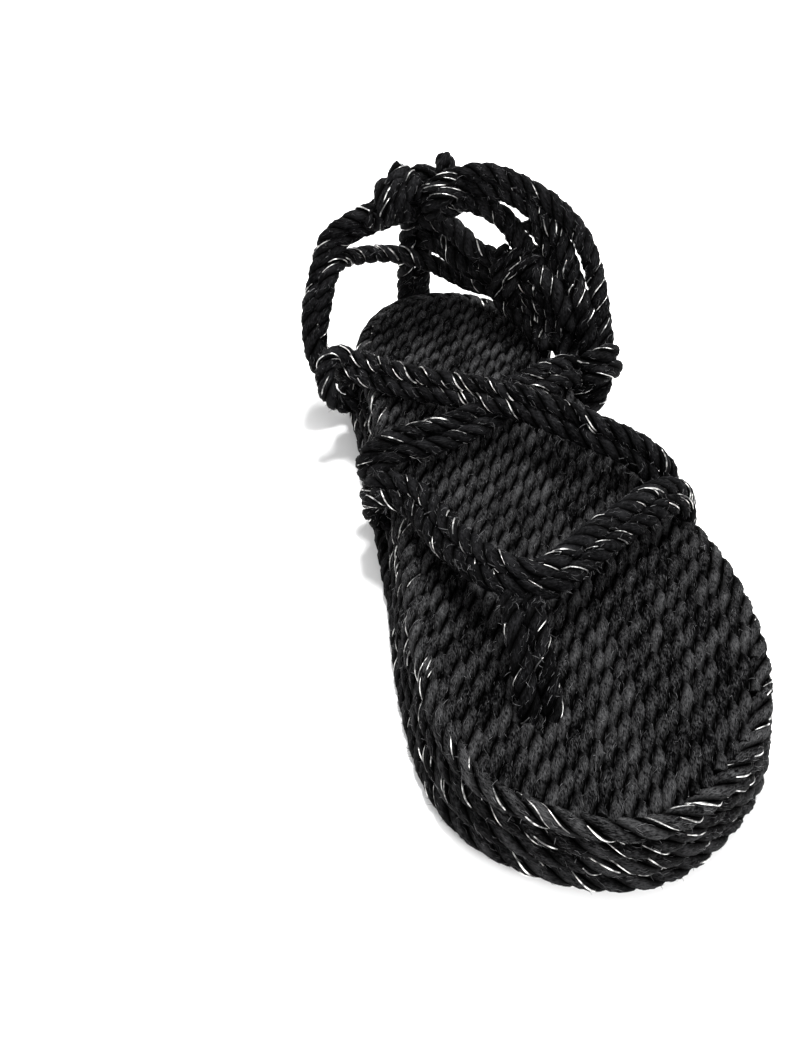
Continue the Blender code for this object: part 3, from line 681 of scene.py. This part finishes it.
def field(sweep, level, face_up, rng, step, sides):
    """Ropes laid side by side along the sole, between the layer's rims."""
    edge = outline(level * LAYER_SETBACK + SOLE_ROPE * 0.58)
    base = level * (SOLE_ROPE + LAYER_GAP)
    half = math.ceil(0.62 * BALL_WIDTH / STRAND_PITCH)
    phase = 0.0
    for k in range(-half, half):
        y = (k + 0.5) * STRAND_PITCH
        signs = edge[:, 1] - y
        cross = np.nonzero(signs * np.roll(signs, -1) < 0)[0]
        if len(cross) < 2:
            continue
        xs = []
        for i in cross:
            a, b = edge[i], edge[(i + 1) % len(edge)]
            xs.append(a[0] + (b[0] - a[0]) * (y - a[1]) / (b[1] - a[1]))
        lo, hi = min(xs), max(xs)
        if hi - lo < 8:
            continue
        x = np.arange(lo, hi, step)
        r = SOLE_ROPE / 2
        drift = wander(len(x), rng, 0.16, 6)
        sink = -0.55 if face_up else 0.45
        height = base + r + sink + wander(len(x), rng, 0.10, 5)
        line = np.stack([x, y + drift, lift(x) + height], axis=1)
        phase += NEST_TURN + rng.uniform(-0.15, 0.15)
        start = phase + 2 * math.pi * lo / SOLE_LAY
        made = rope(sweep, line * MM, r * FIELD_PLUMP * MM, rng, side=(0, 1, 0), sides=sides,
                    phase=start, offset=FIELD_OFFSET)
        fibres(sole_hair, made, FIELD_FIBRES, rng, 2.4, (0, 0, 1 if face_up else -1))
        if face_up:
            lint(field_lint, made, FIELD_LINT, rng, (0, 0, 1))


# Filling of each layer from the outsole up: its foot over the layer's own foot, and its height
FILL_LOW = (2.9, 0.6, 0.6, 0.6)
FILL_TALL = (2.2, 4.5, 4.5, 2.1)


def filling(name, level, mat):
    """Packed rope between a layer's faces, closed behind the ropes that show."""
    bm = bmesh.new()
    edge = outline(level * LAYER_SETBACK + SOLE_ROPE * 0.62, 4.0)
    base = level * (SOLE_ROPE + LAYER_GAP)
    foot = [bm.verts.new(Vector((x, y, lift(x) + base + FILL_LOW[level])) * MM) for x, y, _ in edge]
    made = bmesh.ops.extrude_face_region(bm, geom=[bm.faces.new(foot)])
    top = [v for v in made["geom"] if isinstance(v, bmesh.types.BMVert)]
    bmesh.ops.translate(bm, vec=(0, 0, FILL_TALL[level] * MM), verts=top)
    bmesh.ops.triangulate(bm, faces=bm.faces)
    bmesh.ops.recalc_face_normals(bm, faces=bm.faces)
    mesh = bpy.data.meshes.new(name)
    bm.to_mesh(mesh)
    bm.free()
    mesh.materials.append(mat)
    thing = bpy.data.objects.new(name, mesh)
    bpy.context.scene.collection.objects.link(thing)
    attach(thing, "root")


def packed_material():
    """Rope packed out of sight between the layers' faces."""
    mat = bpy.data.materials.new("packed_rope")
    nodes, links, shader = tree(mat)
    place = nodes.new("ShaderNodeTexCoord")
    noise = nodes.new("ShaderNodeTexNoise")
    noise.inputs["Scale"].default_value = 700.0
    noise.inputs["Detail"].default_value = 4.0
    links.new(place.outputs["Object"], noise.inputs["Vector"])
    ramp = nodes.new("ShaderNodeValToRGB")
    ramp.color_ramp.elements[0].color = (0.003, 0.003, 0.003, 1)
    ramp.color_ramp.elements[1].color = (0.014, 0.014, 0.015, 1)
    links.new(noise.outputs[0], ramp.inputs["Fac"])
    links.new(ramp.outputs["Color"], shader.inputs["Base Color"])
    shader.inputs["Roughness"].default_value = 0.95
    bump = nodes.new("ShaderNodeBump")
    bump.inputs["Distance"].default_value = 0.3 * MM
    links.new(noise.outputs[0], bump.inputs["Height"])
    links.new(bump.outputs["Normal"], shader.inputs["Normal"])
    return mat


PACKED = packed_material()

# Sole
sole_rng = random.Random(SOLE_SEED)
insole = Sweep()
rim(insole, 3, sole_rng)
field(insole, 3, True, sole_rng, 1.8, 8)
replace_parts(insole.finish("insole_ropes", FIELD), "insole")
filling("insole_filling", 3, PACKED)

middle = Sweep()
for level in (1, 2):
    rim(middle, level, sole_rng)
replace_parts(middle.finish("midsole_ropes", EDGE), "midsole")
for level in (1, 2):
    filling("midsole_filling_%d" % level, level, PACKED)

under = Sweep()
rim(under, 0, sole_rng)
field(under, 0, False, sole_rng, 2.3, 6)
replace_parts(under.finish("outsole_ropes", EDGE), "outsole")
filling("outsole_filling", 0, PACKED)

# Heel coil
coil_rng = random.Random(COIL_SEED)
coil = Sweep()
pitch = COIL_ROPE * 0.96
last = (COIL_RADIUS - COIL_ROPE / 2) / pitch * 2 * math.pi
angle = np.linspace(0.55 * math.pi, last, 900)
reach = pitch * angle / (2 * math.pi)
spiral = np.stack(
    [reach * np.cos(angle), reach * np.sin(angle), np.full_like(angle, COIL_ROPE / 2)], axis=1)
made = rope(coil, even(spiral, 1.7) * MM, COIL_ROPE / 2 * MM, coil_rng, sides=8,
            ends=("sealed", "sealed"))
fibres(sole_hair, made, COIL_FIBRES, coil_rng)
silver(thread, made, COIL_SILVER, coil_rng)
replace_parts(coil.finish("heel_coil_rope", EDGE), "heel_coil")

# Straps
strap_rng = random.Random(STRAP_SEED)
upper = Sweep()


def strap_rope(line, side, radius):
    """One rope of the straps, with its fibres, lint and silver."""
    made = rope(upper, line, radius * MM, strap_rng, side=side, lay=STRAP_LAY, sides=9)
    fibres(strap_hair, made, STRAP_FIBRES, strap_rng, 4.0)
    lint(strap_lint, made, STRAP_LINT, strap_rng)
    silver(thread, made, STRAP_SILVER, strap_rng)


for points, side in ((FRONT_V, (1, 0, 0)), (TOE_POST, (0, 1, 0)), (OVER_STRAP, (1, 0, 0)),
                     (UNDER_STRAP, (1, 0, 0))):
    middle_line = spline(points, 1.6)
    _, across, over = carried(middle_line, side, False)
    for sign in (1, -1):
        n = len(middle_line)
        apart = PAIR_SHARE * STRAP_ROPE / 2 * (1 + wander(n, strap_rng, 0.03, 4))
        roll = wander(n, strap_rng, 0.10, 3)
        sideways = across * np.cos(roll)[:, None] + over * np.sin(roll)[:, None]
        line = middle_line + sideways * (sign * apart * MM)[:, None]
        strap_rope(line, side, STRAP_ROPE / 2 * STRAP_PLUMP)
strap_rope(spline(REAR_HITCH, 1.5), (1, 0, 0), HITCH_RADIUS)
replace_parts(upper.finish("strap_ropes", ROPE), "upper")

# Ankle
ankle_rng = random.Random(ANKLE_SEED)
ankle = Sweep()


def ankle_rope(line, side=(1, 0, 0), ends=("plain", "plain"), radius=ANKLE_RADIUS):
    """One rope of the ankle, with its fibres, lint and silver."""
    made = rope(ankle, line, radius * MM, ankle_rng, side=side, lay=STRAP_LAY, sides=9, ends=ends)
    fibres(strap_hair, made, ANKLE_FIBRES, ankle_rng, 4.0)
    lint(ankle_lint, made, ANKLE_LINT, ankle_rng)
    silver(thread, made, ANKLE_SILVER, ankle_rng)
    return made


for points, radius in ANKLE_ROUTES:
    ankle_rope(spline(points, 1.6), radius=radius)
riser = spline(HEEL_RISER, 1.6)
_, across, over = carried(riser, (0, 1, 0), False)
for sign in (1, -1):
    ankle_rope(riser + across * sign * RISER_APART * MM, side=(0, 1, 0), radius=RISER_RADIUS)


def wrap(first, last_middle, way, long_radius, short_radius, long_way, turns):
    """A rope wound round others, from one middle to another."""
    way = unit(np.array(way, float))
    far = np.array(long_way, float)
    far = unit(far - way * far.dot(way))
    near = np.cross(way, far)
    t = np.linspace(0, 1, 400)
    a = 2 * math.pi * turns * t
    middle = np.array(first) * (1 - t)[:, None] + np.array(last_middle) * t[:, None]
    line = (middle + far * (long_radius * np.cos(a))[:, None]
            + near * (short_radius * np.sin(a))[:, None])
    return even(line, 1.6) * MM


for turns_round in WRAPS:
    ankle_rope(wrap(*turns_round), side=turns_round[2], ends=("sealed", "sealed"))
ankle_rope(spline(KNOT_HUMP, 1.4), radius=HUMP_RADIUS)
cut = ankle_rope(spline(CUT_END, 1.3))
ankle_rope(spline(SEALED_END, 1.0), ends=("plain", "sealed"), radius=SEALED_RADIUS)
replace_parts(ankle.finish("ankle_ropes", ROPE), "ankle_strap")

# Brush of fibres where one end is cut
end, way_out = cut["line"][-1], cut["way"][-1]
for _ in range(BRUSH_HAIRS):
    r = BRUSH_RADIUS * MM * math.sqrt(ankle_rng.random())
    a = ankle_rng.uniform(0, 2 * math.pi)
    outward = cut["side"][-1] * math.cos(a) + cut["up"][-1] * math.sin(a)
    start = end + outward * r - way_out * 1.0 * MM
    d = unit(way_out + outward * ankle_rng.uniform(-0.1, 0.5))
    reach = ankle_rng.uniform(1.6, 3.4) * MM
    pts = np.array([start + d * reach * f + BRUSH_DROOP * reach * f * f for f in (0, 0.35, 0.7, 1.0)])
    way = unit(np.gradient(pts, axis=0))
    side = unit(np.cross(way, OFF_AXIS))
    thick = 0.07 * MM * np.array([1, 1, 0.9, 0.5])
    strap_hair.tube(pts, side, np.cross(way, side), thick, 3, ankle_rng.random())

sole_hair.finish("sole_fibres", FIBRE)
strap_hair.finish("strap_fibres", FIBRE)
field_lint.finish("field_lint", FIBRE)
edge_lint.finish("edge_lint", FIBRE)
strap_lint.finish("strap_lint", FIBRE)
ankle_lint.finish("ankle_lint", FIBRE)
thread.finish("silver_thread", SILVER)


def tab_material():
    """Close woven tape."""
    mat = bpy.data.materials.new("woven_tab")
    nodes, links, shader = tree(mat)
    place = nodes.new("ShaderNodeTexCoord")
    sets = []
    for way in ("X", "Z"):
        wave = nodes.new("ShaderNodeTexWave")
        wave.bands_direction = way
        wave.inputs["Scale"].default_value = 300.0
        wave.inputs["Distortion"].default_value = 0.4
        links.new(place.outputs["Object"], wave.inputs["Vector"])
        sets.append(wave.outputs["Fac"])
    weave = nodes.new("ShaderNodeMath")
    weave.operation = "MULTIPLY"
    links.new(sets[0], weave.inputs[0])
    links.new(sets[1], weave.inputs[1])
    ramp = nodes.new("ShaderNodeValToRGB")
    ramp.color_ramp.elements[0].color = (0.001, 0.001, 0.001, 1)
    ramp.color_ramp.elements[1].color = (0.035, 0.035, 0.037, 1)
    links.new(weave.outputs[0], ramp.inputs["Fac"])
    links.new(ramp.outputs["Color"], shader.inputs["Base Color"])
    shader.inputs["Roughness"].default_value = 0.7
    shader.inputs["Specular IOR Level"].default_value = 0.05
    bump = nodes.new("ShaderNodeBump")
    bump.inputs["Distance"].default_value = 0.25 * MM
    links.new(weave.outputs[0], bump.inputs["Height"])
    links.new(bump.outputs["Normal"], shader.inputs["Normal"])
    return mat


# Side tab: a short tape, crowned a little, with rounded edges
low, high = (np.array(c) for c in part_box("side_tab"))
bm = bmesh.new()
bmesh.ops.create_grid(bm, x_segments=18, y_segments=8, size=0.5)
bmesh.ops.scale(bm, vec=(TAB_LENGTH * MM, TAB_DROP * MM, 1), verts=bm.verts)
skin = bmesh.ops.extrude_face_region(bm, geom=list(bm.faces))
lifted = [v for v in skin["geom"] if isinstance(v, bmesh.types.BMVert)]
bmesh.ops.translate(bm, vec=(0, 0, TAB_THICKNESS * MM), verts=lifted)
bmesh.ops.recalc_face_normals(bm, faces=bm.faces)
for v in bm.verts:
    crown = TAB_CROWN * MM * math.cos(v.co.x / (TAB_LENGTH * MM) * math.pi)
    v.co.z += crown + TAB_RIPPLE * MM * math.sin(v.co.y / (TAB_DROP * MM) * 5)
bmesh.ops.rotate(bm, matrix=Matrix.Rotation(math.radians(-90), 3, "X"), verts=bm.verts)
bmesh.ops.rotate(bm, matrix=Matrix.Rotation(TAB_TURN, 3, "Z"), verts=bm.verts)
x, y, z = (low + high) / 2
bmesh.ops.translate(bm, vec=(x, y - TAB_INWARD * MM, z), verts=bm.verts)
mesh = bpy.data.meshes.new("side_tab_tape")
bm.to_mesh(mesh)
bm.free()
mesh.polygons.foreach_set("use_smooth", np.ones(len(mesh.polygons), bool))
mesh.materials.append(tab_material())
tab = bpy.data.objects.new("side_tab_tape", mesh)
bpy.context.scene.collection.objects.link(tab)
bevel = tab.modifiers.new("edge", "BEVEL")
bevel.width = 0.2 * MM
bevel.segments = 2
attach(tab, "root")
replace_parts(tab, "side_tab")

# Floor, light and camera
bm = bmesh.new()
bmesh.ops.create_grid(bm, x_segments=1, y_segments=1, size=6.0)
mesh = bpy.data.meshes.new("floor")
bm.to_mesh(mesh)
bm.free()
floor_mat = bpy.data.materials.new("pale_floor")
nodes, links, shader = tree(floor_mat)
shader.inputs["Base Color"].default_value = (0.95, 0.95, 0.95, 1)
shader.inputs["Roughness"].default_value = 0.85
mesh.materials.append(floor_mat)
floor = bpy.data.objects.new("floor", mesh)
bpy.context.scene.collection.objects.link(floor)

bpy.context.scene.view_settings.view_transform = "Standard"
world = bpy.data.worlds.new("studio")
world.use_nodes = True
world.node_tree.nodes["Background"].inputs["Color"].default_value = (1, 1, 1, 1)
world.node_tree.nodes["Background"].inputs["Strength"].default_value = 0.90
bpy.context.scene.world = world


MIDDLE = (0.09, 0.0, 0.03)        # of the shoe, in metres, as the lights' places are


def area(name, place, aim, size, power):
    """A soft square light."""
    data = bpy.data.lights.new(name, "AREA")
    data.size = size
    data.energy = power
    light = bpy.data.objects.new(name, data)
    light.location = place
    light.rotation_euler = (Vector(aim) - Vector(place)).to_track_quat("-Z", "Y").to_euler()
    bpy.context.scene.collection.objects.link(light)


area("key", (-0.28, 0.12, 1.10), MIDDLE, 0.26, 26.0)
area("front", (0.85, 0.40, 0.60), MIDDLE, 0.5, 9.0)
area("fill", (0.55, -0.95, 0.75), MIDDLE, 0.8, 1.5)

# The photograph's camera
PITCH = math.radians(44.2)
TURN = math.radians(9.0)          # off the toe's direction, to the inner side
FOCAL = 930.0                     # in pixels of the frame
FRAME_HEIGHT = 1040.0
CAMERA_PLACE = Vector((302.3, -66.2, 229.6))
ahead = Vector((-math.cos(TURN), math.sin(TURN), 0))
view = ahead * math.cos(PITCH) + Vector((0, 0, -math.sin(PITCH)))
right = Vector((math.sin(TURN), math.cos(TURN), 0))
upward = ahead * math.sin(PITCH) + Vector((0, 0, math.cos(PITCH)))
data = bpy.data.cameras.new("camera")
data.sensor_fit = "VERTICAL"
data.sensor_height = 36
data.lens = FOCAL * data.sensor_height / FRAME_HEIGHT
data.clip_start = 0.01
camera = bpy.data.objects.new("camera", data)
turn = Matrix((right, upward, -view)).transposed().to_4x4()
turn.translation = CAMERA_PLACE * MM
camera.matrix_world = turn
bpy.context.scene.collection.objects.link(camera)
bpy.context.scene.camera = camera
